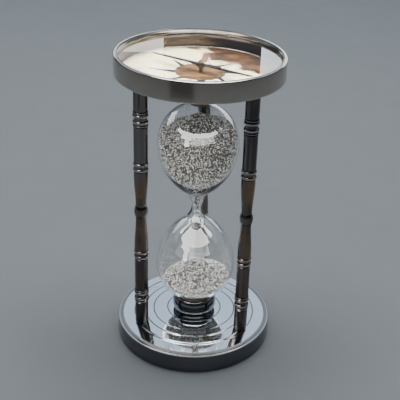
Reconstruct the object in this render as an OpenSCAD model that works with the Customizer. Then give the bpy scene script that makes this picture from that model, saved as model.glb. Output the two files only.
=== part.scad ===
// Nautical sand timer with a compass in each end drum.
// Two identical drums stand on three turned columns and hold a one-piece glass bulb between them.
// The timer is turned over to start it, so the upper end is the lower end mirrored.

/* [Frame] */
// Overall height, outer rim to outer rim
total_h = 153; // [140:1:170]
// Outer radius of each drum
drum_r = 40; // [38:0.5:44]
// Height of each drum wall
drum_h = 10; // [9.5:0.1:12]
// Radius of the circle that the columns stand on
column_circle_r = 29.6; // [28.5:0.1:30.5]
// Turn of the column triangle about the axis
column_turn = -5.4; // [-30:0.1:30]

/* [Columns] */
// Radius of the plain parts of a column
column_r = 3.37; // [3:0.01:3.6]
// Radius of the beads
bead_r = 3.75; // [3.6:0.05:4.2]
// Radius of a column where it meets the middle collar
waist_r = 2.6; // [2.3:0.05:3]
// Distance from mid-height to each outer group of beads
outer_beads_at = 48.3; // [45:0.1:52]
// Distance from mid-height to each inner group of beads
inner_beads_at = 23.9; // [22:0.1:27]

/* [Glass bulb] */
// Height of the neck above the bottom rim
neck_z = 74.4; // [73.5:0.1:75.5]
// Outer radius of the neck
neck_r = 2.5; // [2.3:0.1:3]
// Largest outer radius of each bulb
belly_r = 20.1; // [19:0.1:21]
// Distance from the neck to the widest place of each bulb
belly_dz = 34.3; // [33:0.1:35]
// Distance from the widest place to the end of each bulb
bulb_end = 19.9; // [19:0.1:20.5]
// Radius of the long outward curve between neck and belly
shoulder_r = 32.5; // [31:0.5:36]
// Thickness of the glass
glass_t = 0.8; // [0.8:0.1:1.4]

/* [Sand] */
// Height of the lower heap at the glass
lower_sand_z = 32.5; // [28:0.5:38]
// Height of the lower heap at its peak
lower_peak_z = 43.5; // [38:0.5:48]
// Height of the upper sand at the glass
upper_sand_z = 116.5; // [108:0.5:121]
// Height of the upper sand at its peak
upper_peak_z = 124; // [110:0.5:126]

/* [Compass] */
// Depth of the dial face below the drum's rim
dial_depth = 9.5; // [8.8:0.1:9.5]
// Length of the needle from the pivot to each tip
needle_len = 28; // [20:0.5:34]
// Width of the needle at the pivot
needle_w = 2.6; // [2:0.1:4]
// Direction of the upper needle's north tip
upper_needle_dir = 147; // [0:1:359]
// Direction of the lower needle's north tip
lower_needle_dir = 112; // [0:1:359]

/* [Hidden] */
$fn = 96;

mid_z = total_h / 2;
fit_gap = 0.05;

// Drum wall. Depths are measured from the outer rim towards the middle of the timer.
edge_r = 0.7;
rim_wall = 1.4;
wall_in_r = drum_r - 2;
rebate_r = drum_r - rim_wall;
rebate_depth = 2.5;
flange_in_r = drum_r - 3.8;
flange_t = 0.3;
cove_r_in = 37.6;
cove_r_out = 38.9;
cove_depth = 0.35;

// Column screws
screw_r = 1.2;
screw_bore_r = screw_r + fit_gap;
screw_head_r = 2.6;
screw_head_h = 0.7;
screw_end_depth = 18;
screw_slot_w = 0.6;
screw_slot_depth = 0.35;

// Domed deck with engraved rings and a flat centre
deck_edge_r = 37.2;
deck_flat_r = 13.7;
deck_rise = 2.5;
deck_t = 0.5;
deck_edge_depth = drum_h + deck_t;
dome_r = (pow(deck_edge_r, 2) + pow(deck_rise, 2)) / (2 * deck_rise);
dome_steps = 4;
groove_radii = [14, 21.3, 25.8, 31.4];
groove_w = 0.5;
groove_depth = 0.22;
deck_centre_depth = dome_depth(deck_flat_r);

// Flat seats pressed in the deck for each column above and each screw head below
seat_r = 3.75;
column_foot_depth = dome_depth(column_circle_r - column_r - 0.05);
screw_seat_depth = dome_depth(column_circle_r + screw_head_r + 0.1) - deck_t;

// Bezel, lens and dial
bezel_in_r = 37.3;
bezel_lip_r = 38.1;
bezel_top = 0.15;
bezel_slope = 1.25;
lens_t = 0.6;
lens_top = rebate_depth - lens_t;
dial_t = drum_h - flange_t - dial_depth;
dial_ring_wire_r = 0.35;

// Pivot, needle and needle cap
pivot_boss_r = 4;
pivot_pin_r = 0.8;
pivot_tip_depth = 5.6;
cap_top = 5;
cap_bottom = 7.2;
cap_crown_r = 1.5;
cap_flange_r = 2.3;
cap_bore_r = pivot_pin_r + fit_gap;
cap_bore_top = pivot_tip_depth - fit_gap;
needle_t = 0.35;
needle_depth = 5.6;
needle_hub_r = 2.1;
needle_point_l = 3;
needle_shoulder_w = 1.4;

// Cup that holds the bulb, and its stem
cup_r = 11.3;
cup_foot_r = 9.5;
cup_foot_round_x = 3.2;
cup_foot_end_depth = 16.4;
cup_lip_out_r = 9.5;
cup_lip_in_r = 8.9;
cup_lip_h = 4.2;
cup_lip_to_bulb_centre = 18.5;
stem_r = 2.4;
stem_end_depth = 10.6;
pad_t = 1;
pad_r = 8.7;
sleeve_r = 4.2;
seat_steps = 6;

// Column turning
collar_r = 3.35;
collar_half = 2.4;
collar_round = 6.5;
collar_groove_r = 2.35;
inner_bead_gap = 1.4;
outer_bead_gap = 1.6;
outer_fillet_at = 3.2;
bead_half = 0.95;
fillet_half = 0.3;
fillet_r = 3.6;
bead_groove_r = 3;
baluster_start = collar_half + 0.6;
baluster_end = inner_beads_at - inner_bead_gap - bead_half - 0.1;
baluster_steps = 14;
baluster_sweep = 205;
column_end = mid_z - column_foot_depth;
column_bore_depth = screw_end_depth - column_foot_depth + 0.25;

// Bulb: two equal teardrops that meet at the neck.
// The throat is the small inward curve at the neck, tangent to the shoulder curve.
throat_x = shoulder_r - belly_r + neck_r;
throat_r = (pow(throat_x, 2) + pow(belly_dz, 2) - pow(shoulder_r, 2)) / (2 * (shoulder_r - throat_x));
throat_turn = atan2(belly_dz, throat_r + throat_x);
bulb_end_z = belly_dz + bulb_end;
lower_bulb_centre = neck_z - belly_dz;
upper_bulb_centre = neck_z + belly_dz;
fill_neck_r = 3.4;
fill_bore_r = 1.9;
fill_neck_end = neck_z + bulb_end_z + 2.4;
stopper_plug_h = 3.2;
stopper_head_h = 1.4;
grain_gap = 0.15;
arc_steps = 12;

// Points of an ellipse arc, with radii rx and rz, about [cx, cz], from angle a0 to a1
function arc(cx, cz, rx, rz, a0, a1, steps = arc_steps) =
    [for (i = [0:steps]) let (a = a0 + (a1 - a0) * i / steps) [cx + rx * cos(a), cz + rz * sin(a)]];

// Outline of one teardrop from the neck to its end, as [radius, distance from neck].
// The whole outline is moved inwards by an inset.
function teardrop(inset, end_angle = 90) = concat(
    arc(neck_r + throat_r, 0, throat_r + inset, throat_r + inset, 180, 180 - throat_turn, 8),
    arc(belly_r - shoulder_r, belly_dz, shoulder_r - inset, shoulder_r - inset, -throat_turn, 0),
    [for (p = arc(0, belly_dz, belly_r - inset, bulb_end - inset, 0, end_angle, 20))
        if (p[1] > belly_dz) p]);

// Angle on the bulb's end ellipse, moved inwards by an inset, at a distance from the neck
function end_angle_at(dz, inset) = asin((dz - belly_dz) / (bulb_end - inset));

function lower_side(points) = [for (p = points) [p[0], neck_z - p[1]]];
function upper_side(points) = [for (p = points) [p[0], neck_z + p[1]]];
// Depth of the deck's surface at radius r
function dome_depth(r) =
    deck_edge_depth + sqrt(pow(dome_r, 2) - pow(r, 2)) - sqrt(pow(dome_r, 2) - pow(deck_edge_r, 2));

function reversed(points) = [for (i = [len(points) - 1:-1:0]) points[i]];
function on_axis(points) = [for (p = points) [max(p[0], 0), p[1]]];

// A rounded bead between two grooves, as half-profile points about height z
function bead(z, r, half_h) = concat(
    [[bead_groove_r, z - half_h]],
    arc(r - half_h, z, half_h, half_h, -90, 90, 8),
    [[bead_groove_r, z + half_h]]);

// A plain stretch with a small chamfer at both ends
function plain(z0, z1) =
    [[bead_groove_r, z0], [column_r, z0 + 0.3], [column_r, z1 - 0.3], [bead_groove_r, z1]];

// Radius of the baluster at a share t of the way from the middle collar to the inner beads
function baluster_r(t) =
    waist_r + (column_r + 0.06 - waist_r) * (0.5 - 0.5 * cos(baluster_sweep * t));

// Half-profile of the upper half of a column; heights are measured from mid-height
column_half = concat(
    arc(collar_r - collar_round, 0, collar_round, collar_round, 0, asin(collar_half / collar_round), 6),
    [[collar_groove_r, collar_half + 0.1], [collar_groove_r, collar_half + 0.5]],
    [for (i = [0:baluster_steps]) let (t = i / baluster_steps)
        [baluster_r(t), baluster_start + (baluster_end - baluster_start) * t]],
    [for (side = [-1, 1]) for (p = bead(inner_beads_at + side * inner_bead_gap, bead_r, bead_half)) p],
    plain(inner_beads_at + inner_bead_gap + bead_half + 0.1,
        outer_beads_at - outer_fillet_at - fillet_half - 0.3),
    bead(outer_beads_at - outer_fillet_at, fillet_r, fillet_half),
    [for (side = [-1, 1]) for (p = bead(outer_beads_at + side * outer_bead_gap, bead_r, bead_half)) p],
    bead(outer_beads_at + outer_fillet_at, fillet_r, fillet_half),
    plain(outer_beads_at + outer_fillet_at + fillet_half + 0.3, column_end));

// Puts an end piece, drawn with its rim at z = 0, at the bottom or at the top
module at_bottom() children();
module at_top() translate([0, 0, total_h]) mirror([0, 0, 1]) children();

// Drum wall with a rebate for lens and bezel, and a thin flange between dial and deck
module ring() {
    color([0.22, 0.21, 0.2])
    rotate_extrude() polygon(concat(
        [[flange_in_r, drum_h - flange_t], [wall_in_r, drum_h - flange_t],
         [wall_in_r, rebate_depth], [rebate_r, rebate_depth], [rebate_r, 0]],
        arc(drum_r - edge_r, edge_r, edge_r, edge_r, -90, 0, 6),
        arc(drum_r - edge_r, drum_h - edge_r, edge_r, edge_r, 0, 90, 6),
        [[cove_r_out, drum_h]],
        arc((cove_r_in + cove_r_out) / 2, drum_h, (cove_r_out - cove_r_in) / 2, cove_depth,
            -15, -165, 8),
        [[cove_r_in, drum_h], [flange_in_r, drum_h]]));
}

// Deck surface from radius r0 out to r1, as [radius, depth]
function dome_line(r0, r1) =
    [for (i = [0:dome_steps]) let (r = r0 + (r1 - r0) * i / dome_steps) [r, dome_depth(r)]];

// One engraved ring in the deck's surface
function groove(r) =
    [for (side = [-1, 1]) [r + side * groove_w / 4, dome_depth(r) - groove_depth]];

// Spun sheet deck: a shallow dome with engraved rings
module deck() {
    last = len(groove_radii) - 1;
    stretch_starts = [for (r = groove_radii) r + groove_w / 2];
    stretch_ends = [for (i = [0:last]) i < last ? groove_radii[i + 1] - groove_w / 2 : deck_edge_r];
    surface = [for (i = [0:last]) for (p = concat(groove(groove_radii[i]),
        dome_line(stretch_starts[i], stretch_ends[i]))) p];
    underside = [for (p = reversed(dome_line(deck_flat_r, deck_edge_r))) [p[0], p[1] - deck_t]];
    color([0.72, 0.76, 0.8])
    difference() {
        union() {
            rotate_extrude() polygon(concat(
                [[0, deck_centre_depth], [deck_flat_r, deck_centre_depth]], surface,
                underside, [[0, deck_centre_depth - deck_t]]));
            at_columns() translate([0, 0, screw_seat_depth])
                cylinder(r = seat_r, h = column_foot_depth - screw_seat_depth);
        }
        at_columns() cylinder(r = screw_bore_r + 0.1, h = drum_h * 2);
        cylinder(r = stem_r + 0.1, h = drum_h * 2);
    }
}

// Sprung ring that holds the lens, sloping down to the glass
module bezel() {
    color([0.3, 0.28, 0.26])
    rotate_extrude() polygon([
        [bezel_in_r, lens_top], [bezel_in_r, bezel_top + bezel_slope], [bezel_lip_r, bezel_top],
        [rebate_r - fit_gap, bezel_top], [rebate_r - fit_gap, lens_top]]);
}

module lens() {
    color([0.85, 0.93, 0.95, 0.3])
    translate([0, 0, lens_top]) cylinder(r = rebate_r - fit_gap, h = lens_t);
}

module dial() {
    color([0.93, 0.89, 0.76])
    difference() {
        translate([0, 0, dial_depth]) cylinder(r = wall_in_r - fit_gap, h = dial_t);
        translate([0, 0, dial_depth - 1]) cylinder(r = pivot_pin_r + 0.1, h = dial_t + 2);
    }
}

// Round wire that holds the dial's edge down
module dial_ring() {
    color([0.85, 0.8, 0.68])
    translate([0, 0, dial_depth - dial_ring_wire_r])
        rotate_extrude() translate([wall_in_r - fit_gap - dial_ring_wire_r, 0])
            circle(r = dial_ring_wire_r, $fn = 24);
}

// Turned boss behind the dial, with the needle's pin and the socket for the cup's stem
module pivot() {
    dial_back = dial_depth + dial_t;
    color([0.75, 0.6, 0.3])
    difference() {
        union() {
            translate([0, 0, dial_back])
                cylinder(r = pivot_boss_r, h = deck_centre_depth - deck_t - dial_back);
            translate([0, 0, pivot_tip_depth + pivot_pin_r])
                cylinder(r = pivot_pin_r, h = dial_back - pivot_tip_depth);
            translate([0, 0, pivot_tip_depth])
                cylinder(r1 = 0.2, r2 = pivot_pin_r, h = pivot_pin_r);
        }
        translate([0, 0, stem_end_depth - 0.2]) cylinder(r = stem_r + fit_gap, h = drum_h);
    }
}

// Flat magnetised needle, pointed at both ends, turned to a direction in the plane
module needle(direction) {
    shoulder_x = needle_len - needle_point_l;
    shoulder_y = needle_shoulder_w / 2;
    color([0.12, 0.12, 0.13])
    difference() {
        rotate([0, 0, direction]) translate([0, 0, needle_depth]) linear_extrude(needle_t) union() {
            polygon([[needle_len, 0], [shoulder_x, shoulder_y], [0, needle_w / 2],
                [-shoulder_x, shoulder_y], [-needle_len, 0], [-shoulder_x, -shoulder_y],
                [0, -needle_w / 2], [shoulder_x, -shoulder_y]]);
            circle(r = needle_hub_r);
        }
        translate([0, 0, needle_depth - 1]) cylinder(r = cap_crown_r + fit_gap, h = needle_t + 2);
    }
}

// Brass cap that sits on the pivot's pin and carries the needle
module needle_cap() {
    color([0.8, 0.65, 0.32])
    difference() {
        rotate_extrude() polygon([
            [0, cap_top], [cap_crown_r - 0.4, cap_top], [cap_crown_r, cap_top + 0.4],
            [cap_crown_r, needle_depth + needle_t], [cap_flange_r, needle_depth + needle_t],
            [cap_flange_r, needle_depth + needle_t + 0.5], [cap_crown_r, cap_bottom], [0, cap_bottom]]);
        translate([0, 0, cap_bore_top]) cylinder(r = cap_bore_r, h = cap_bottom);
    }
}

module at_columns() {
    for (a = [90, 210, 330])
        rotate([0, 0, a + column_turn]) translate([column_circle_r, 0, 0]) children();
}

// One slotted screw under each column
module screws() {
    head_depth = screw_seat_depth - screw_head_h;
    color([0.6, 0.6, 0.58])
    at_columns() difference() {
        union() {
            translate([0, 0, head_depth]) cylinder(r = screw_head_r, h = screw_head_h);
            translate([0, 0, head_depth]) cylinder(r = screw_r, h = screw_end_depth - head_depth);
        }
        translate([-screw_head_r - 1, -screw_slot_w / 2, head_depth - 1])
            cube([2 * screw_head_r + 2, screw_slot_w, 1 + screw_slot_depth]);
    }
}

// Seat surface at a gap below the glass, from radius from_r out to radius r.
// The bulb's widest place is at depth centre.
function seat_line(centre, gap, r, from_r = 0) =
    arc(0, centre, belly_r + gap, bulb_end + gap,
        -acos(from_r / (belly_r + gap)), -acos(r / (belly_r + gap)), seat_steps);

// Bun-shaped cup with a dished seat, on a stem that goes through the deck
module cup() {
    lip_depth = lower_bulb_centre - cup_lip_to_bulb_centre;
    color([0.16, 0.16, 0.17])
    rotate_extrude() polygon(concat(
        [[0, stem_end_depth], [stem_r, stem_end_depth], [stem_r, deck_centre_depth],
         [cup_foot_r, deck_centre_depth]],
        arc(cup_r - cup_foot_round_x, cup_foot_end_depth, cup_foot_round_x,
            cup_foot_end_depth - deck_centre_depth, -60, 0, 6),
        arc(cup_lip_out_r, lip_depth - cup_lip_h, cup_r - cup_lip_out_r, cup_lip_h, 0, 90, 8),
        reversed(on_axis(seat_line(lower_bulb_centre, pad_t, cup_lip_in_r)))));
}

// Thin cork pad between the lower cup and the glass
module cup_pad() {
    color([0.62, 0.48, 0.33])
    rotate_extrude() polygon(concat(
        on_axis(seat_line(lower_bulb_centre, pad_t - fit_gap, pad_r)),
        reversed(on_axis(seat_line(lower_bulb_centre, fit_gap, pad_r)))));
}

// Cork sleeve round the fill neck, between the upper cup and the glass
module neck_sleeve() {
    bore_r = fill_neck_r + 0.1;
    color([0.62, 0.48, 0.33])
    rotate_extrude() polygon(concat(
        seat_line(lower_bulb_centre, pad_t - fit_gap, sleeve_r, bore_r),
        reversed(seat_line(total_h - upper_bulb_centre, fit_gap, sleeve_r, bore_r))));
}

module column(index) {
    lower_half = [for (p = reversed(column_half)) [p[0], -p[1]]];
    color([0.2, 0.17, 0.15])
    rotate([0, 0, 90 + 120 * index + column_turn]) translate([column_circle_r, 0, mid_z])
    difference() {
        rotate_extrude() polygon(concat([[0, -column_end]], lower_half, column_half, [[0, column_end]]));
        for (z = [-column_end - 1, column_end - column_bore_depth])
            translate([0, 0, z]) cylinder(r = screw_bore_r, h = column_bore_depth + 1);
    }
}

// One-piece blown glass: two teardrops, with a short fill neck at the upper end
module glass_bulb() {
    outer = concat(lower_side(reversed(teardrop(0))), upper_side(teardrop(0)));
    inner = concat(lower_side(reversed(teardrop(glass_t))), upper_side(teardrop(glass_t)));
    color([0.85, 0.93, 0.95, 0.3])
    difference() {
        union() {
            rotate_extrude() polygon(on_axis(outer));
            translate([0, 0, neck_z + bulb_end_z - 1.5])
                cylinder(r = fill_neck_r, h = fill_neck_end - neck_z - bulb_end_z + 1.5);
        }
        rotate_extrude() polygon(on_axis(inner));
        translate([0, 0, neck_z + bulb_end_z - 3]) cylinder(r = fill_bore_r, h = 20);
    }
}

// Turned cork that closes the fill neck
module bulb_stopper() {
    color([0.6, 0.42, 0.26])
    union() {
        translate([0, 0, fill_neck_end - stopper_plug_h])
            cylinder(r = fill_bore_r - fit_gap, h = stopper_plug_h + stopper_head_h / 2);
        translate([0, 0, fill_neck_end]) cylinder(r = fill_neck_r, h = stopper_head_h);
    }
}

// Lower heap: follows the glass up to its edge, then rises to a peak
module sand_lower() {
    inset = glass_t + grain_gap;
    edge = end_angle_at(neck_z - lower_sand_z, inset);
    wall = arc(0, belly_dz, belly_r - inset, bulb_end - inset, edge, 90, 16);
    color([0.5, 0.5, 0.48])
    rotate_extrude() polygon(concat(on_axis(lower_side(wall)), [[0, lower_peak_z]]));
}

// Upper sand: fills the bulb from the neck to its edge, then rises to a low peak
module sand_upper() {
    inset = glass_t + grain_gap;
    edge = end_angle_at(upper_sand_z - neck_z, inset);
    color([0.5, 0.5, 0.48])
    rotate_extrude() polygon(concat(
        [[0, neck_z]], upper_side(teardrop(inset, edge)), [[0, upper_peak_z]]));
}

at_bottom() ring();  // bottom_ring
at_bottom() deck();  // bottom_deck
at_bottom() bezel();  // bottom_bezel
at_bottom() lens();  // bottom_lens
at_bottom() dial();  // bottom_dial
at_bottom() dial_ring();  // bottom_dial_ring
at_bottom() pivot();  // bottom_pivot
at_bottom() needle(lower_needle_dir);  // bottom_needle
at_bottom() needle_cap();  // bottom_needle_cap
at_bottom() screws();  // bottom_screws
at_bottom() cup();  // bottom_cup
at_bottom() cup_pad();  // bottom_cup_pad
at_top() ring();  // top_ring
at_top() deck();  // top_deck
at_top() bezel();  // top_bezel
at_top() lens();  // top_lens
at_top() dial();  // top_dial
at_top() dial_ring();  // top_dial_ring
at_top() pivot();  // top_pivot
at_top() needle(upper_needle_dir);  // top_needle
at_top() needle_cap();  // top_needle_cap
at_top() screws();  // top_screws
at_top() cup();  // top_cup
at_top() neck_sleeve();
column(1);  // column_left
column(2);  // column_right
column(0);  // column_back
glass_bulb();
bulb_stopper();
sand_lower();
sand_upper();
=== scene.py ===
import math

import bmesh
import bpy
import numpy as np
from mathutils import Matrix, Vector

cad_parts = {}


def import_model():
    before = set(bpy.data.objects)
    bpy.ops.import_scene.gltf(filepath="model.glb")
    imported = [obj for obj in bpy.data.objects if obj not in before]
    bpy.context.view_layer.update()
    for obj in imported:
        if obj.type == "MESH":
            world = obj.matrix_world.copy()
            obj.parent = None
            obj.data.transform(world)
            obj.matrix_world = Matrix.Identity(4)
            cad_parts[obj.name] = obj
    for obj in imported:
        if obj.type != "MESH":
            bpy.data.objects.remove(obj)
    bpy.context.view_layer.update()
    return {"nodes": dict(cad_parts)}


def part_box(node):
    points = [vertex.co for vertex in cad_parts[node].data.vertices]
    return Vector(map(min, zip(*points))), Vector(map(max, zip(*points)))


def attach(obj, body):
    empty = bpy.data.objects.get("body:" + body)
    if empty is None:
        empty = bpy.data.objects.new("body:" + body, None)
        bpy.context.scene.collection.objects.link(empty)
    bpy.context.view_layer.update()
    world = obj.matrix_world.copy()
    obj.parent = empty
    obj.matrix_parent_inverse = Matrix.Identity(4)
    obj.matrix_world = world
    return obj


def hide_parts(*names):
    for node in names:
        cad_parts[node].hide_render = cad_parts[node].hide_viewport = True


# The looks of a nautical sand timer: glass, sand, printed compass dials, plated metal and studio.
# Profiles are in millimetres, as (radius, height); every mesh is in metres.

MM = 0.001
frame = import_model()
nodes = frame["nodes"]

# Sizes that the CAD part also uses
TOTAL_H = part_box("top_ring")[1].z / MM
DRUM_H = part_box("bottom_ring")[1].z / MM
DRUM_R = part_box("bottom_ring")[1].x / MM
DIAL_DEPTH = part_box("bottom_dial")[0].z / MM
NECK_Z = 74.4
NECK_R = 2.5
BELLY_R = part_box("glass_bulb")[1].x / MM
BELLY_DZ = 34.3
BULB_END = 19.9
SHOULDER_R = 32.5
GLASS_T = 0.8
FILL_R = 3.4
FILL_BORE_R = 1.9
FILL_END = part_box("glass_bulb")[1].z / MM
SAND_LOW_EDGE = 32.5
SAND_LOW_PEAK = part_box("sand_lower")[1].z / MM
SAND_HIGH_EDGE = 116.5
SAND_HIGH_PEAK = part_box("sand_upper")[1].z / MM
DECK_FLAT_R = 13.7
DECK_EDGE_R = 37.2
DECK_EDGE_Z = 10.5
DECK_RISE = 2.5
DECK_T = 0.5
GROOVES = (14.0, 21.3, 25.8, 31.4)
STEM_HOLE_R = 2.5
WALL_IN_R = DRUM_R - 2
FLANGE_DEPTH = DRUM_H - 0.3
COLUMN_CIRCLE_R = 29.6
COLUMN_ANGLES = {"column_back": 84.6, "column_left": 204.6, "column_right": 324.6}

# Sizes that only the looks need
NECK_GLASS_T = 1.7
NECK_GLASS_REACH = 9.0
NECK_GLASS_FADE = 6.0
FILL_ROUND = 0.8
GROOVE_HALF_W = 0.25
GROOVE_DEPTH = 0.2
LAND_IN_R = DRUM_R - 2.8
COVE_IN_R = DRUM_R - 2.3
COVE_OUT_R = DRUM_R - 1
LAND_DEPTH = DRUM_H - 0.6
EDGE_ROUND = 0.5
BEAD_INNER_R = 3.52
SWELLING_START = 8
SWELLING_END = 23.5


# ---------------------------------------------------------------- mesh helpers

def arc(cx, cz, rx, rz, a0, a1, steps):
    """Points of an ellipse arc about (cx, cz), from angle a0 to a1 in degrees."""
    angles = [math.radians(a0 + (a1 - a0) * i / steps) for i in range(steps + 1)]
    return [(cx + rx * math.cos(a), cz + rz * math.sin(a)) for a in angles]


def shade(mesh, sharp_angle=35):
    """Smooth shading, with edges kept sharp above an angle."""
    mesh.shade_smooth()
    mesh.set_sharp_from_angle(angle=math.radians(sharp_angle))
    return mesh


def lathe(name, profile, segments=144, sharp_angle=35):
    """Closed solid of revolution about Z. The profile closes on itself or ends on the axis."""
    bm = bmesh.new()
    turns = [2 * math.pi * i / segments for i in range(segments)]
    rings = []
    for r, z in profile:
        if r < 1e-4:
            rings.append([bm.verts.new((0, 0, z * MM))])
        else:
            rings.append([bm.verts.new((r * MM * math.cos(t), r * MM * math.sin(t), z * MM)) for t in turns])
    pairs = list(zip(rings, rings[1:]))
    if len(rings[0]) > 1:
        pairs.append((rings[-1], rings[0]))
    for a, b in pairs:
        for i in range(segments):
            j = (i + 1) % segments
            corners = [a[i % len(a)], b[i % len(b)], b[j % len(b)], a[j % len(a)]]
            corners = [v for k, v in enumerate(corners) if v not in corners[:k]]
            if len(corners) > 2:
                bm.faces.new(corners)
    bmesh.ops.recalc_face_normals(bm, faces=bm.faces)
    mesh = bpy.data.meshes.new(name)
    bm.to_mesh(mesh)
    bm.free()
    return shade(mesh, sharp_angle)


def welded_copy(name, node):
    """Copy of a CAD node's mesh with its seams welded, so that its turned curves shade smoothly."""
    bm = bmesh.new()
    bm.from_mesh(nodes[node].data)
    bmesh.ops.remove_doubles(bm, verts=bm.verts, dist=1e-6)
    bm.verts.index_update()
    mesh = bpy.data.meshes.new(name)
    mesh.from_pydata([v.co for v in bm.verts], [], [[v.index for v in f.verts] for f in bm.faces])
    bm.free()
    return shade(mesh)


def piece(name, mesh, material, replaces=None, body="frame"):
    """Links a mesh as a piece of the object that rides on a body."""
    obj = bpy.data.objects.new(name, mesh)
    bpy.context.scene.collection.objects.link(obj)
    mesh.materials.clear()
    mesh.materials.append(material)
    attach(obj, body)
    if replaces:
        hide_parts(replaces)
    return obj


def mirrored(points):
    """The same profile at the other end of the timer."""
    return [(r, TOTAL_H - z) for r, z in points]


# ---------------------------------------------------------------- material helpers

class Finish:
    """A Principled material built up from procedural textures in object space."""

    def __init__(self, name, **constants):
        self.material = bpy.data.materials.new(name)
        self.material.use_nodes = True
        self.nodes = self.material.node_tree.nodes
        self.shader = self.nodes["Principled BSDF"]
        self.place = self.add("ShaderNodeTexCoord").outputs["Object"]
        for key, value in constants.items():
            self.shader.inputs[key.replace("_", " ")].default_value = value

    def add(self, kind, inputs=None, **settings):
        """New node, with its settings, and its inputs given as values or as other nodes' outputs."""
        made = self.nodes.new(kind)
        for key, value in settings.items():
            setattr(made, key, value)
        for key, value in (inputs or {}).items():
            self.put(value, made.inputs[key])
        return made

    def put(self, value, socket):
        """Sets a socket to a value, or links another node's output to it."""
        if isinstance(value, bpy.types.NodeSocket):
            self.material.node_tree.links.new(value, socket)
        else:
            socket.default_value = value

    def noise(self, scale, detail=4.0, stretch=(1, 1, 1), roughness=0.55):
        spread = self.add("ShaderNodeMapping", {"Vector": self.place, "Scale": stretch})
        return self.add("ShaderNodeTexNoise", {
            "Vector": spread.outputs["Vector"], "Scale": scale, "Detail": detail,
            "Roughness": roughness}).outputs["Fac"]

    def ramp(self, factor, *stops):
        made = self.add("ShaderNodeValToRGB", {"Fac": factor})
        elements = made.color_ramp.elements
        while len(elements) < len(stops):
            elements.new(0.5)
        for element, (position, colour) in zip(elements, stops):
            element.position = position
            element.color = (*colour, 1)
        return made.outputs["Color"]

    def levels(self, value, low, high, to_low=0.0, to_high=1.0):
        return self.add("ShaderNodeMapRange", {
            "Value": value, "From Min": low, "From Max": high,
            "To Min": to_low, "To Max": to_high}).outputs["Result"]

    def mix(self, factor, a, b):
        made = self.add("ShaderNodeMix", data_type="RGBA")
        for index, value in ((0, factor), (6, a), (7, b)):
            value = (*value, 1) if isinstance(value, tuple) and len(value) == 3 else value
            self.put(value, made.inputs[index])
        return made.outputs[2]

    def maths(self, operation, a, b=0.0):
        return self.add("ShaderNodeMath", {0: a, 1: b}, operation=operation).outputs[0]

    def attribute(self, name):
        return self.add("ShaderNodeAttribute", attribute_name=name).outputs["Fac"]

    def bump(self, height, strength, distance=0.0002):
        made = self.add("ShaderNodeBump", {"Height": height, "Strength": strength, "Distance": distance})
        self.put(made.outputs["Normal"], self.shader.inputs["Normal"])

    def wear(self, shades, scale, rough, bump_strength, **settings):
        """Colour variation, uneven roughness and a fine bump, all from one noise."""
        cloud = self.noise(scale, **settings)
        self.put(self.ramp(cloud, (0.3, shades[0]), (0.7, shades[1])), self.shader.inputs["Base Color"])
        self.put(self.levels(cloud, 0.3, 0.7, *rough), self.shader.inputs["Roughness"])
        self.bump(cloud, bump_strength)
        return self.material


# ---------------------------------------------------------------- materials

def drum_metal(name, dark, light):
    """Blackened plating with polished edges and lands, by the mesh's polish attribute."""
    f = Finish(name, Metallic=1.0)
    brushed = f.noise(60, 5, (1, 1, 14))
    cloud = f.noise(45, 3)
    plating = f.mix(f.attribute("inner"), f.mix(cloud, dark, light), (0.045, 0.035, 0.03))
    polish = f.attribute("polish")
    f.put(f.mix(polish, plating, (0.55, 0.53, 0.51)), f.shader.inputs["Base Color"])
    satin = f.levels(brushed, 0.3, 0.7, 0.12, 0.2)
    glossy = f.levels(brushed, 0.3, 0.7, 0.05, 0.1)
    f.put(f.add("ShaderNodeMix", {0: polish, 2: satin, 3: glossy}).outputs[0], f.shader.inputs["Roughness"])
    f.bump(brushed, 0.08, 0.00005)
    return f.material


def column_bronze():
    """Near-black bronze with painted vertical highlight streaks, rubbed brown on the swellings and bright on
    the beads.
    """
    f = Finish("column_bronze", Metallic=1.0)
    rub = f.levels(f.noise(70, 3, (1, 1, 0.45)), 0.42, 0.62)
    # Painted highlight: noise stretched along the height runs from near-black to grey as soft vertical
    # streaks, over the bronze's own uneven tone.
    black = f.ramp(f.noise(330, 2, (1, 1, 0.03)), (0.4, (0.08, 0.077, 0.082)), (0.62, (0.21, 0.203, 0.21)))
    worn = f.mix(f.noise(300, 4), (0.15, 0.096, 0.058), (0.37, 0.235, 0.135))
    body = f.mix(f.maths("MULTIPLY", rub, f.attribute("rub")), black, worn)
    f.put(f.mix(f.attribute("polish"), body, (0.5, 0.47, 0.44)), f.shader.inputs["Base Color"])
    f.put(f.levels(f.noise(220, 4), 0.3, 0.7, 0.1, 0.2), f.shader.inputs["Roughness"])
    f.bump(f.noise(500, 3, (1, 1, 3)), 0.1, 0.00005)
    return f.material


def deck_metal():
    """Mirror plating, dark and dull in the engraved rings."""
    f = Finish("deck_metal", Metallic=1.0)
    cloud = f.noise(40, 3)
    groove = f.attribute("groove")
    mirror = f.ramp(cloud, (0.3, (0.78, 0.83, 0.88)), (0.7, (0.88, 0.91, 0.94)))
    f.put(f.mix(groove, mirror, (0.03, 0.032, 0.036)), f.shader.inputs["Base Color"])
    f.put(f.maths("ADD", f.levels(cloud, 0.3, 0.7, 0.03, 0.055), f.levels(groove, 0, 1, 0, 0.3)),
          f.shader.inputs["Roughness"])
    f.bump(cloud, 0.02)
    return f.material


def cup_metal():
    """Dark polished metal of the two cups."""
    f = Finish("cup_metal", Metallic=1.0)
    return f.wear([(0.18, 0.18, 0.188), (0.27, 0.266, 0.262)], 90, (0.05, 0.1), 0.04)


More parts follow.
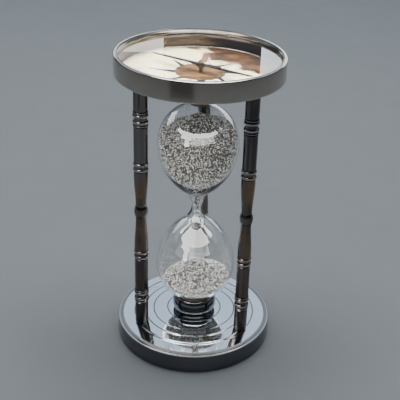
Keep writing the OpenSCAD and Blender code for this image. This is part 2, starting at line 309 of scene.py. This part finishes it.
def clear_glass(name, tint, ripple):
    """Clear glass with a faint tint and a slight ripple."""
    f = Finish(name, Transmission_Weight=1.0, IOR=1.47)
    cloud = f.noise(28, 2)
    f.put(f.ramp(cloud, (0.3, tint), (0.7, (1, 1, 1))), f.shader.inputs["Base Color"])
    f.put(f.levels(cloud, 0.3, 0.7, 0.0, 0.012), f.shader.inputs["Roughness"])
    f.bump(cloud, ripple, 0.0004)
    return f.material


def dial_card():
    """Cream card with a brown chart-like stain along the far edge and a faint one at the left."""
    f = Finish("dial_card", Specular_IOR_Level=0.4)
    spot = f.add("ShaderNodeSeparateXYZ", {0: f.place}).outputs
    cloud = f.noise(55, 5, (1, 1.4, 1))
    reach = f.maths("ADD", f.maths("MULTIPLY", spot[1], 0.68), f.maths("MULTIPLY", spot[0], 0.74))
    far = f.levels(f.maths("ADD", reach, f.levels(cloud, 0.3, 0.7, -0.011, 0.011)), 0.0175, 0.0225)
    left = f.levels(f.maths("MULTIPLY", f.levels(spot[0], -0.012, -0.03), cloud), 0.3, 0.5, 0, 0.7)
    card = f.mix(f.noise(120, 4), (0.9, 0.74, 0.36), (0.95, 0.88, 0.62))
    brown = f.ramp(f.noise(160, 4), (0.4, (0.008, 0.003, 0.0007)), (0.6, (0.085, 0.034, 0.009)))
    stained = f.mix(far, card, brown)
    f.put(f.mix(left, stained, (0.36, 0.24, 0.22)), f.shader.inputs["Base Color"])
    f.put(f.levels(cloud, 0.3, 0.7, 0.4, 0.55), f.shader.inputs["Roughness"])
    f.bump(f.noise(900, 2), 0.05, 0.00005)
    return f.material


def sand_grains():
    """Black, white and grey-beige grains: each grain is one island of the mesh."""
    f = Finish("sand_grains", Specular_IOR_Level=0.15)
    pick = f.add("ShaderNodeNewGeometry").outputs["Random Per Island"]
    shades = [(0.0, (0.002, 0.002, 0.002)), (0.42, (0.01, 0.01, 0.009)), (0.46, (0.06, 0.056, 0.05)),
              (0.6, (0.2, 0.185, 0.16)), (0.64, (0.5, 0.49, 0.46)), (1.0, (0.9, 0.89, 0.86))]
    f.put(f.ramp(pick, *shades), f.shader.inputs["Base Color"])
    f.put(f.levels(f.noise(900, 2), 0.3, 0.7, 0.5, 0.8), f.shader.inputs["Roughness"])
    return f.material


def plain(name, shades, scale, rough, bump_strength, metallic=0.0, **constants):
    """A material of one finish, worn by a single noise."""
    return Finish(name, Metallic=metallic, **constants).wear(shades, scale, rough, bump_strength)


# Both drums are one metal: the bottom drum's darker, bluer tones are painted shade.
DRUM_TOP = drum_metal("drum_metal_top", (0.33, 0.3, 0.268), (0.49, 0.445, 0.4))
DRUM_BOTTOM_SHADED = drum_metal("drum_metal_bottom_shaded", (0.13, 0.13, 0.144), (0.18, 0.18, 0.2))
COLUMN = column_bronze()
DECK = deck_metal()
CUP = cup_metal()
GLASS = clear_glass("bulb_glass", (0.985, 0.992, 0.99), 0.05)
LENS = clear_glass("lens_glass", (0.985, 0.993, 0.99), 0.01)
CARD = dial_card()
SAND = sand_grains()
# Near-black body under the grains, darker than the sand itself: painted shade between the grains.
SAND_CORE_SHADE = plain("sand_core_and_shade", [(0.004, 0.004, 0.004), (0.05, 0.048, 0.044)], 900, (0.6, 0.9), 0.3)
BEZEL = plain("bezel_metal", [(0.13, 0.12, 0.11), (0.22, 0.21, 0.19)], 120, (0.14, 0.22), 0.05, 1.0)
BRASS = plain("aged_brass", [(0.1, 0.07, 0.035), (0.2, 0.145, 0.07)], 200, (0.25, 0.4), 0.05, 1.0)
EDGE_WIRE = plain("edge_wire", [(0.68, 0.64, 0.54), (0.82, 0.8, 0.74)], 200, (0.2, 0.3), 0.05, 1.0)
NEEDLE = plain("needle_steel", [(0.012, 0.012, 0.014), (0.04, 0.04, 0.045)], 300, (0.25, 0.4), 0.05, 1.0)
SCREW = plain("screw_steel", [(0.4, 0.4, 0.38), (0.58, 0.57, 0.54)], 400, (0.2, 0.35), 0.08, 1.0)
CORK = plain("cork", [(0.04, 0.03, 0.022), (0.12, 0.08, 0.05)], 900, (0.7, 0.95), 0.5)
INK = plain("ink_black", [(0.003, 0.0025, 0.002), (0.009, 0.0075, 0.006)], 400, (0.4, 0.6), 0.02)
INK_WHITE = plain("ink_white", [(0.86, 0.86, 0.82), (0.95, 0.95, 0.92)], 300, (0.4, 0.6), 0.02)
INK_BROWN = plain("ink_brown", [(0.03, 0.015, 0.006), (0.09, 0.05, 0.02)], 400, (0.4, 0.6), 0.02)
INK_TAN = plain("ink_tan", [(0.08, 0.04, 0.022), (0.2, 0.11, 0.065)], 400, (0.4, 0.6), 0.02)
GOLD_PAPER = plain("gold_paper", [(0.004, 0.0016, 0.0006), (0.2, 0.09, 0.02)], 260, (0.35, 0.5), 0.03)
BLACK_CARD = plain("black_card", [(0.016, 0.016, 0.017), (0.028, 0.028, 0.03)], 60, (0.7, 0.9), 0.02)


# ---------------------------------------------------------------- drums, decks, columns

def mark(mesh, name, value_of, *about):
    """Stores a number between 0 and 1 at each vertex, for the materials to read."""
    values = mesh.attributes.new(name, "FLOAT", "POINT").data
    for vertex, value in zip(mesh.vertices, values):
        value.value = value_of(vertex.co / MM, *about)


def ring_place(p):
    """Radius, and depth from the nearer end of the timer."""
    return math.hypot(p.x, p.y), min(p.z, TOTAL_H - p.z)


def ring_polish(p):
    """Bright on the rounded outer edges and beside the cove round the deck, duller in the cove."""
    r, depth = ring_place(p)
    if depth > LAND_DEPTH and not ring_inner(p):
        return 1.0 if r > COVE_OUT_R or LAND_IN_R < r < COVE_IN_R else 0.4
    return 1.0 if depth < EDGE_ROUND and r > DRUM_R - 0.4 else 0.0


def ring_inner(p):
    """The wall inside the compass, which is darker."""
    r, depth = ring_place(p)
    return 1.0 if r < WALL_IN_R + 0.01 and depth < FLANGE_DEPTH + 0.01 else 0.0


for end, metal in (("bottom", DRUM_BOTTOM_SHADED), ("top", DRUM_TOP)):
    ring = welded_copy(end + "_drum", end + "_ring")
    mark(ring, "polish", ring_polish)
    mark(ring, "inner", ring_inner)
    piece(end + "_drum", ring, metal, end + "_ring")


def dome_z(r):
    """Height of the deck's domed top at a radius."""
    sphere = (DECK_EDGE_R**2 + DECK_RISE**2) / (2 * DECK_RISE)
    return DECK_EDGE_Z + math.sqrt(sphere**2 - r**2) - math.sqrt(sphere**2 - DECK_EDGE_R**2)


def deck_profile():
    """Domed plate with a flat centre, a stem hole and four engraved rings."""
    flat = dome_z(DECK_FLAT_R)
    margin = GROOVE_HALF_W + 0.07
    points = [(STEM_HOLE_R, flat - DECK_T), (STEM_HOLE_R, flat), (DECK_FLAT_R - 0.2, flat)]
    for start, stop in zip(GROOVES, (*GROOVES[1:], DECK_EDGE_R + GROOVE_HALF_W)):
        points += arc(start, dome_z(start), GROOVE_HALF_W, GROOVE_DEPTH, 180, 360, 8)
        points += [(r, dome_z(r)) for r in np.linspace(start + margin, stop - margin, 8)]
    points += [(DECK_EDGE_R, DECK_EDGE_Z), (DECK_EDGE_R, DECK_EDGE_Z - DECK_T)]
    points += [(r, dome_z(r) - DECK_T) for r in np.linspace(DECK_EDGE_R - 1, DECK_FLAT_R, 8)]
    return points


def in_groove(p):
    """The engraved rings, without their rims."""
    r = math.hypot(p.x, p.y)
    return 1.0 if min(abs(r - groove) for groove in GROOVES) < GROOVE_HALF_W - 0.01 else 0.0


for end, profile in (("bottom", deck_profile()), ("top", mirrored(deck_profile()))):
    plate = lathe(end + "_deck_plate", profile, 180)
    mark(plate, "groove", in_groove)
    piece(end + "_deck_plate", plate, DECK, end + "_deck")


def bead_polish(p, axis):
    """Bright on the beads, which stand out furthest from the column's own axis."""
    return 1.0 if (p.xy - axis).length > BEAD_INNER_R else 0.0


def swelling_rub(p):
    """Rubbed on the two long swellings either side of the middle collar."""
    return 1.0 if SWELLING_START < abs(p.z - TOTAL_H / 2) < SWELLING_END else 0.3


for node, angle in COLUMN_ANGLES.items():
    column = welded_copy(node + "_turned", node)
    axis = Vector((math.cos(math.radians(angle)), math.sin(math.radians(angle)))) * COLUMN_CIRCLE_R
    mark(column, "polish", bead_polish, axis)
    mark(column, "rub", swelling_rub)
    piece(node + "_turned", column, COLUMN, node)


def bezel_profile():
    """Sprung ring with a narrow shadow gap to the drum wall."""
    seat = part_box("bottom_lens")[0].z / MM
    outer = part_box("bottom_bezel")[1].x / MM
    return [(37.3, seat), (37.3, 1.4), (37.42, 1.24), (37.95, 0.3), (38.1, 0.2), (38.25, 0.28),
            (38.28, 0.9), (outer, 0.9), (outer, seat)]


for end, profile in (("bottom", bezel_profile()), ("top", mirrored(bezel_profile()))):
    name = end + "_lens_bezel"
    piece(name, lathe(name, profile), BEZEL, end + "_bezel")
    for part, material, slot in (("cup", CUP, "cup_metal"), ("dial_ring", EDGE_WIRE, "brass")):
        name = f"{end}_{part}_polished"
        piece(name, welded_copy(name, f"{end}_{part}"), material, f"{end}_{part}")

KEPT_FINISHES = {"lens": LENS, "dial": CARD, "pivot": BRASS, "needle": NEEDLE, "needle_cap": BRASS,
                 "screws": SCREW, "cup_pad": CORK, "stopper": CORK, "sleeve": CORK}

for node, obj in nodes.items():
    finish = KEPT_FINISHES.get(node.split("_", 1)[1])
    if finish:
        obj.data.materials.clear()
        obj.data.materials.append(finish)


# ---------------------------------------------------------------- glass bulb

def teardrop(inset, end_angle=90):
    """Outline of one bulb from the neck to its end, as (radius, distance from the neck).

    An inset outline also draws in where the glass is thick, between neck and shoulder.
    """
    throat_x = SHOULDER_R - BELLY_R + NECK_R
    throat_r = (throat_x**2 + BELLY_DZ**2 - SHOULDER_R**2) / (2 * (SHOULDER_R - throat_x))
    turn = math.degrees(math.atan2(BELLY_DZ, throat_r + throat_x))
    throat = arc(NECK_R + throat_r, 0, throat_r + inset, throat_r + inset, 180, 180 - turn, 14)
    shoulder = arc(BELLY_R - SHOULDER_R, BELLY_DZ, SHOULDER_R - inset, SHOULDER_R - inset, -turn, 0, 28)
    end = arc(0, BELLY_DZ, BELLY_R - inset, BULB_END - inset, 0, end_angle, 36)
    points = throat + shoulder[1:] + end[1:]
    if inset == 0:
        return points
    extra = NECK_GLASS_T - GLASS_T
    bore_r = 0.25
    return [(max(r - extra * math.exp(-((z - NECK_GLASS_REACH) / NECK_GLASS_FADE) ** 2), bore_r), z)
            for r, z in points]


def bulb_profile():
    """Section of the one-piece glass: both bulbs and the fill neck on top."""
    down = [(r, NECK_Z - z) for r, z in teardrop(0)]
    up = [(r, NECK_Z + z) for r, z in teardrop(0)]
    down_in = [(r, NECK_Z - z) for r, z in teardrop(GLASS_T)]
    up_in = [(r, NECK_Z + z) for r, z in teardrop(GLASS_T)]
    round_r = FILL_R + FILL_ROUND
    outer = [p for p in down[::-1] + up[1:] if not (p[0] < round_r and p[1] > NECK_Z)]
    outer += arc(round_r, NECK_Z + BELLY_DZ + BULB_END + 0.5, FILL_ROUND, 0.9, 250, 180, 4)
    neck = [(FILL_R, FILL_END), (FILL_BORE_R, FILL_END)]
    inner = [p for p in up_in[::-1] if p[0] > FILL_BORE_R or p[1] < NECK_Z + BELLY_DZ]
    return [(max(r, 0), z) for r, z in outer + neck + inner[:-1] + down_in]


piece("blown_bulb", lathe("blown_bulb", bulb_profile(), 180), GLASS, "glass_bulb")


# ---------------------------------------------------------------- sand

GRAIN = 0.28
GRAIN_SPACING = 0.46
GRAIN_SEED = 11
CORE_INSET = 0.15
SAND_GAP = GLASS_T + 0.15
SAND_TILT = 1.6
SAND_TILT_TURN = -20
HEAP_LOW_FOOT_R = 15
HEAP_HIGH_FOOT_R = 12


def end_angle_at(dz, inset):
    """Angle on a bulb's rounded end at a distance from the neck."""
    return math.degrees(math.asin((dz - BELLY_DZ) / (BULB_END - inset)))


def heap_top(edge_r, edge_z, foot_r, foot_z, peak_z, steps=18):
    """Outline of a heap's top from the glass to the axis: a nearly flat rim, then a rounded cone."""
    points = []
    for i in range(1, steps + 1):
        r = edge_r * (1 - i / steps)
        if r > foot_r:
            share = (edge_r - r) / (edge_r - foot_r)
            points.append((r, edge_z + (foot_z - edge_z) * share))
        else:
            share = 1 - r / foot_r
            rise = 0.6 * share + 0.4 * (0.5 - 0.5 * math.cos(math.pi * share))
            points.append((r, foot_z + (peak_z - foot_z) * rise))
    return points


def tilt_at(turn):
    """How much higher the sand lies against the glass on its right-hand side."""
    return SAND_TILT * math.cos(turn - math.radians(SAND_TILT_TURN))


def lower_sand(turn, inset):
    """Outline of the sand in the lower bulb, from the bulb's end up to the heap's peak."""
    edge_z = SAND_LOW_EDGE + tilt_at(turn)
    edge = end_angle_at(NECK_Z - edge_z, inset)
    wall = [(r, NECK_Z - z) for r, z in arc(0, BELLY_DZ, BELLY_R - inset, BULB_END - inset, 90, edge, 24)]
    peak = SAND_LOW_PEAK - inset + SAND_GAP
    foot_z = SAND_LOW_EDGE + 1.5 + 0.8 * tilt_at(turn)
    return wall + heap_top(*wall[-1], HEAP_LOW_FOOT_R, foot_z, peak)


def upper_sand(turn, inset):
    """Outline of the sand in the upper bulb, from the neck up to the heap's peak."""
    edge = end_angle_at(SAND_HIGH_EDGE + tilt_at(turn) - NECK_Z, inset)
    wall = [(r, NECK_Z + z) for r, z in teardrop(inset, edge)]
    peak = SAND_HIGH_PEAK - inset + SAND_GAP
    foot_z = SAND_HIGH_EDGE + 0.5 * tilt_at(turn)
    return [(0, wall[0][1])] + wall + heap_top(*wall[-1], HEAP_HIGH_FOOT_R, foot_z, peak)


def sand_body(name, outline, inset, segments=96):
    """Closed body whose outline changes a little round the axis; its ends lie on the axis."""
    bm = bmesh.new()
    rows = []
    for i in range(segments):
        turn = 2 * math.pi * i / segments
        rows.append([(r * math.cos(turn), r * math.sin(turn), z) for r, z in outline(turn, inset)])
    bottom = bm.verts.new(Vector(rows[0][0]) * MM)
    top = bm.verts.new(Vector(rows[0][-1]) * MM)
    rings = [[bm.verts.new(Vector(row[k]) * MM) for row in rows] for k in range(1, len(rows[0]) - 1)]
    for i in range(segments):
        j = (i + 1) % segments
        bm.faces.new((bottom, rings[0][i], rings[0][j]))
        bm.faces.new((top, rings[-1][i], rings[-1][j]))
        for a, b in zip(rings, rings[1:]):
            bm.faces.new((a[i], b[i], b[j], a[j]))
    bmesh.ops.recalc_face_normals(bm, faces=bm.faces)
    mesh = bpy.data.meshes.new(name)
    bm.to_mesh(mesh)
    bm.free()
    return shade(mesh)


def strew(name, body, spacing, size, seed):
    """Small angular grains strewn evenly over a body's surface."""
    rng = np.random.default_rng(seed)
    body.calc_loop_triangles()
    points = np.array([v.co for v in body.vertices]) / MM
    tris = points[np.array([t.vertices[:] for t in body.loop_triangles])]
    cross = np.cross(tris[:, 1] - tris[:, 0], tris[:, 2] - tris[:, 0])
    areas = np.linalg.norm(cross, axis=1) / 2
    count = int(areas.sum() / spacing**2)
    pick = rng.choice(len(areas), count, p=areas / areas.sum())
    u, v = rng.random((2, count, 1))
    u, v = np.where(u + v > 1, 1 - u, u), np.where(u + v > 1, 1 - v, v)
    centre = tris[pick, 0] + u * (tris[pick, 1] - tris[pick, 0]) + v * (tris[pick, 2] - tris[pick, 0])
    corners = np.concatenate([(axis, -axis) for axis in np.eye(3)])
    sides = np.array([(0, 2, 4), (2, 1, 4), (1, 3, 4), (3, 0, 4), (2, 0, 5), (1, 2, 5), (3, 1, 5), (0, 3, 5)])
    tilt, _ = np.linalg.qr(rng.normal(size=(count, 3, 3)))
    tilt[:, :, 0] *= np.sign(np.linalg.det(tilt))[:, None]
    stretch = rng.uniform(0.6, 1.0, (count, 1, 3)) * size
    verts = np.einsum("nij,nkj->nki", tilt, corners[None] * stretch) + centre[:, None]
    faces = (sides[None] + 6 * np.arange(count)[:, None, None]).reshape(-1, 3)
    mesh = bpy.data.meshes.new(name)
    mesh.from_pydata((verts.reshape(-1, 3) * MM).tolist(), [], faces.tolist())
    return mesh


for name, outline, node in (("sand_low", lower_sand, "sand_lower"), ("sand_high", upper_sand, "sand_upper")):
    # The dark core shows through between the grains as painted shade.
    core = sand_body(name + "_core", outline, SAND_GAP + GRAIN + CORE_INSET)
    piece(name + "_core", core, SAND_CORE_SHADE, node)
    surface = sand_body(name + "_surface", outline, SAND_GAP + GRAIN)
    grains = strew(name + "_grains", surface, GRAIN_SPACING, GRAIN, GRAIN_SEED)
    piece(name + "_grains", grains, SAND)
    bpy.data.meshes.remove(surface)


# ---------------------------------------------------------------- printed compass rose

PRINT_T = 0.02


def flat_print(name, outlines, material, layer):
    """Flat shapes of ink on both dials; layer 1 lies on the card and higher ones on top."""
    for end in ("bottom", "top"):
        z = DIAL_DEPTH - layer * PRINT_T
        z, flip = (z, 1) if end == "bottom" else (TOTAL_H - z, -1)
        bm = bmesh.new()
        for outline in outlines:
            low = [bm.verts.new((x * MM, y * MM, z * MM)) for x, y in outline]
            high = [bm.verts.new((x * MM, y * MM, (z - flip * PRINT_T) * MM)) for x, y in outline]
            bm.faces.new(low)
            bm.faces.new(high[::-1])
            for i in range(len(low)):
                j = (i + 1) % len(low)
                bm.faces.new((low[j], low[i], high[i], high[j]))
        bmesh.ops.recalc_face_normals(bm, faces=bm.faces)
        mesh = bpy.data.meshes.new(f"{end}_{name}")
        bm.to_mesh(mesh)
        bm.free()
        piece(f"{end}_{name}", mesh, material)


def band(r0, r1, steps=72):
    """Quads of a flat ring between two radii."""
    inner, outer = (arc(0, 0, r, r, 0, 360, steps) for r in (r0, r1))
    return [list(quad) for quad in zip(inner, outer, outer[1:], inner[1:])]


def turned(points, angle):
    """Points turned about the dial's centre, by an angle in degrees."""
    c, s = math.cos(math.radians(angle)), math.sin(math.radians(angle))
    return [(c * x - s * y, s * x + c * y) for x, y in points]


NORTH = 84
HUB_R = 11.4
CARDINAL = (23.5, 3.6)      # reach and half width of a main point
HALF_WIND = (20.5, 2.8)
CREST = [(13.6, -1.6), (26.8, -1.6), (26.8, 1.6), (13.6, 1.6)]


def rose():
    """Eight points, each with a dark half, a light half and an outline under both."""
    dark, light, outline = [], [], []
    for i in range(8):
        reach, half = CARDINAL if i % 2 == 0 else HALF_WIND
        root = HUB_R - 1.5
        angle = NORTH + 45 * i
        dark.append(turned([(root, 0), (reach, 0), (root, half)], angle))
        light.append(turned([(root, -half), (reach, 0), (root, 0)], angle))
        outline.append(turned([(root, -half - 0.5), (reach + 1.4, 0), (root, half + 0.5)], angle))
    return dark, light, outline


dark_halves, light_halves, rose_outlines = rose()
flat_print("rose_outline", rose_outlines, INK, 1)
flat_print("rose_dark", dark_halves, INK, 2)
flat_print("rose_light", light_halves, INK_WHITE, 2)
flat_print("hub_disc", [arc(0, 0, HUB_R, HUB_R, 0, 355, 71)], GOLD_PAPER, 3)
flat_print("hub_rings", band(HUB_R - 0.6, HUB_R + 0.5) + band(HUB_R - 1.7, HUB_R - 1.4), INK_BROWN, 4)
flat_print("crest", [turned(CREST, NORTH)], INK_TAN, 3)


# ---------------------------------------------------------------- studio

FLOOR_R = 6
WARM, COOL, PLAIN, SKY = (1, 0.98, 0.95), (0.88, 0.94, 1), (1, 0.99, 0.97), (0.68, 0.8, 0.95)
COLUMNS = tuple(node + "_turned" for node in COLUMN_ANGLES)
BASE = ("bottom_deck_plate", "bottom_drum")
METAL = ("top_drum", "top_lens_bezel", "bottom_cup_polished", "top_cup_polished")
COMPASS = ("top_lens", "top_drum", "top_lens_bezel")


def stage(obj):
    """Links an object of the studio, which is no part of the timer."""
    bpy.context.scene.collection.objects.link(obj)
    return obj


def direction(azimuth, elevation):
    """Unit vector from the object, in degrees: azimuth 0 is behind it, 180 the camera's side."""
    az, el = math.radians(azimuth), math.radians(elevation)
    return Vector((math.sin(az) * math.cos(el), math.cos(az) * math.cos(el), math.sin(el)))


def emitter(name, colour, strength):
    """Glow that is clear from behind and in front, so that panels can overlap and add up."""
    mat = bpy.data.materials.new(name)
    mat.use_nodes = True
    tree = mat.node_tree
    tree.nodes.clear()
    glow = tree.nodes.new("ShaderNodeEmission")
    glow.inputs["Color"].default_value = (*colour, 1)
    glow.inputs["Strength"].default_value = strength
    clear = tree.nodes.new("ShaderNodeBsdfTransparent")
    both = tree.nodes.new("ShaderNodeAddShader")
    output = tree.nodes.new("ShaderNodeOutputMaterial")
    tree.links.new(glow.outputs[0], both.inputs[0])
    tree.links.new(clear.outputs[0], both.inputs[1])
    tree.links.new(both.outputs[0], output.inputs["Surface"])
    return mat


def panel(name, azimuths, elevations, distance, colour, strength):
    """Soft light: a patch of a sphere round the object."""
    rows, columns = 6, 12
    points = [direction(azimuth, elevation) * distance
              for elevation in np.linspace(*elevations, rows + 1)
              for azimuth in np.linspace(*azimuths, columns + 1)]
    width = columns + 1
    faces = [(i * width + j, i * width + j + 1, (i + 1) * width + j + 1, (i + 1) * width + j)
             for i in range(rows) for j in range(columns)]
    mesh = bpy.data.meshes.new(name)
    mesh.from_pydata(points, [], faces)
    mesh.materials.append(emitter(name, colour, strength))
    obj = stage(bpy.data.objects.new(name, mesh))
    obj.visible_camera = False
    return obj


def mirrored_panel(name, azimuths, elevations, distance, colour, strength, shines_on=()):
    """Panel that shows only in shiny surfaces, and only in the named pieces if there are any."""
    obj = panel(name, azimuths, elevations, distance, colour, strength)
    obj.visible_diffuse = False
    if shines_on:
        lit = bpy.data.collections.new(name + "_shines_on")
        for piece_name in shines_on:
            lit.objects.link(bpy.data.objects[piece_name])
        obj.light_linking.receiver_collection = lit
    return obj


def bulb_panel(name, azimuths, elevations, distance, colour, strength):
    """Highlight on the outside of the blown glass, never seen through it."""
    obj = mirrored_panel(name, azimuths, elevations, distance, colour, strength, ("blown_bulb",))
    obj.visible_transmission = False


def soft_panel(name, azimuths, elevations, distance, colour, strength):
    """Panel that lights matt surfaces and makes no highlight."""
    obj = panel(name, azimuths, elevations, distance, colour, strength)
    obj.visible_glossy = False


def floor_shade_card():
    """Black card flat on the floor on the camera's side, which the drum's wall mirrors as a dark band. It is
    painted shade: it stands in for shade on the floor in front and shows only in reflections.
    """
    steps, lift = 8, Vector((0, 0, 0.001))
    points = [direction(azimuth, 0) * radius + lift
              for radius in (0.34, 1.4)
              for azimuth in np.linspace(187, 217, steps + 1)]
    faces = [(i, i + 1, i + steps + 2, i + steps + 1) for i in range(steps)]
    mesh = bpy.data.meshes.new("floor_shade_card")
    mesh.from_pydata(points, [], faces)
    mesh.materials.append(BLACK_CARD)
    obj = stage(bpy.data.objects.new("floor_shade_card", mesh))
    obj.visible_camera = False
    obj.visible_diffuse = False
    obj.visible_transmission = False
    obj.visible_shadow = False


def floor():
    """Plain grey paper with painted light: a little lighter away from the camera, where the light from behind
    falls.
    """
    bm = bmesh.new()
    bmesh.ops.create_circle(bm, cap_ends=True, segments=96, radius=FLOOR_R)
    mesh = bpy.data.meshes.new("floor")
    bm.to_mesh(mesh)
    bm.free()
    f = Finish("floor_paper", Specular_IOR_Level=0.2)
    # Painted light: the paper's tone brightens away from the camera, as the light from behind falls off
    # towards the front.
    away = f.levels(f.add("ShaderNodeSeparateXYZ", {0: f.place}).outputs[1], -0.3, 0.9)
    falloff_tone = f.mix(away, (0.053, 0.057, 0.059), (0.074, 0.083, 0.091))
    f.put(f.mix(f.noise(9, 6), falloff_tone, (0.06, 0.066, 0.07)), f.shader.inputs["Base Color"])
    f.put(f.levels(f.noise(14), 0.3, 0.7, 0.6, 0.75), f.shader.inputs["Roughness"])
    f.bump(f.noise(400, 2), 0.03)
    mesh.materials.append(f.material)
    stage(bpy.data.objects.new("floor", mesh))


def camera():
    """Looks down at the timer from the front, as in the photo."""
    data = bpy.data.cameras.new("camera")
    data.sensor_width = 36
    data.lens = 74.88
    data.shift_x = -0.1
    data.clip_start = 0.01
    place = Matrix.Translation((0, -0.36962, 0.27043))
    pitch, yaw, roll = 0.4805, 0.0584, 0.0544
    forward = Vector((math.sin(yaw) * math.cos(pitch), math.cos(yaw) * math.cos(pitch), -math.sin(pitch)))
    right = forward.cross(Vector((0, 0, 1))).normalized()
    up = right.cross(forward)
    right, up = (math.cos(roll) * right + math.sin(roll) * up, math.cos(roll) * up - math.sin(roll) * right)
    obj = bpy.data.objects.new("camera", data)
    obj.matrix_world = place @ Matrix((right, up, -forward)).transposed().to_4x4()
    bpy.context.scene.collection.objects.link(obj)
    bpy.context.scene.camera = obj


def world():
    """Dim bluish surroundings."""
    made = bpy.data.worlds.new("studio")
    made.use_nodes = True
    background = made.node_tree.nodes["Background"].inputs
    background["Color"].default_value = (0.42, 0.5, 0.6, 1)
    background["Strength"].default_value = 0.15
    bpy.context.scene.world = made


floor()
camera()
world()

# name, azimuths, elevations, distance, colour, strength, what it shines on
bulb_panel("front_high", (88, 276), (54, 88), 1.5, PLAIN, 24)
mirrored_panel("front_on_metal", (88, 276), (54, 88), 1.52, PLAIN, 9, METAL)
bulb_panel("front_light", (88, 276), (36, 54), 1.5, PLAIN, 24)
bulb_panel("front_wedge", (203, 235), (27, 36), 1.5, PLAIN, 24)
bulb_panel("front_wedge_tip", (206, 219), (10, 27), 1.5, PLAIN, 24)
bulb_panel("front_haze", (131, 203), (18, 36), 1.5, COOL, 9)
mirrored_panel("front_on_deck", (88, 276), (36, 88), 1.5, PLAIN, 0.8, BASE)
mirrored_panel("bead_glint", (205, 250), (50, 76), 1.48, PLAIN, 14, COLUMNS)
bulb_panel("left_window", (-63, -31), (17, 38), 1.5, PLAIN, 7)
bulb_panel("right_window", (4.7, 45), (3, 22.5), 4.1, COOL, 5)
mirrored_panel("back_left_light", (-31, -2.9), (10, 19.7), 4, WARM, 2.4, COMPASS)
mirrored_panel("back_left_haze", (-31, -2.9), (19.7, 22.5), 4, WARM, 0.7, COMPASS)
mirrored_panel("back_right_light", (4.7, 45), (3, 22.5), 4, COOL, 3, COMPASS)
mirrored_panel("back_sky", (-90, 90), (25, 85), 4.2, SKY, 0.85)
mirrored_panel("back_low_sky", (-60, 60), (8, 25), 4.2, SKY, 0.85, BASE)
mirrored_panel("back_high_left", (-60, -12), (58, 82), 1.5, PLAIN, 4)
mirrored_panel("back_high_right", (28, 62), (56, 82), 1.5, PLAIN, 4)
soft_panel("soft_top", (-110, 110), (61, 90), 1.5, (0.97, 0.98, 1), 27)
soft_panel("soft_front", (150, 250), (12, 50), 1.5, WARM, 2.2)
floor_shade_card()

for name in ("blown_bulb", "top_lens", "bottom_lens"):
    bpy.data.objects[name].visible_shadow = False
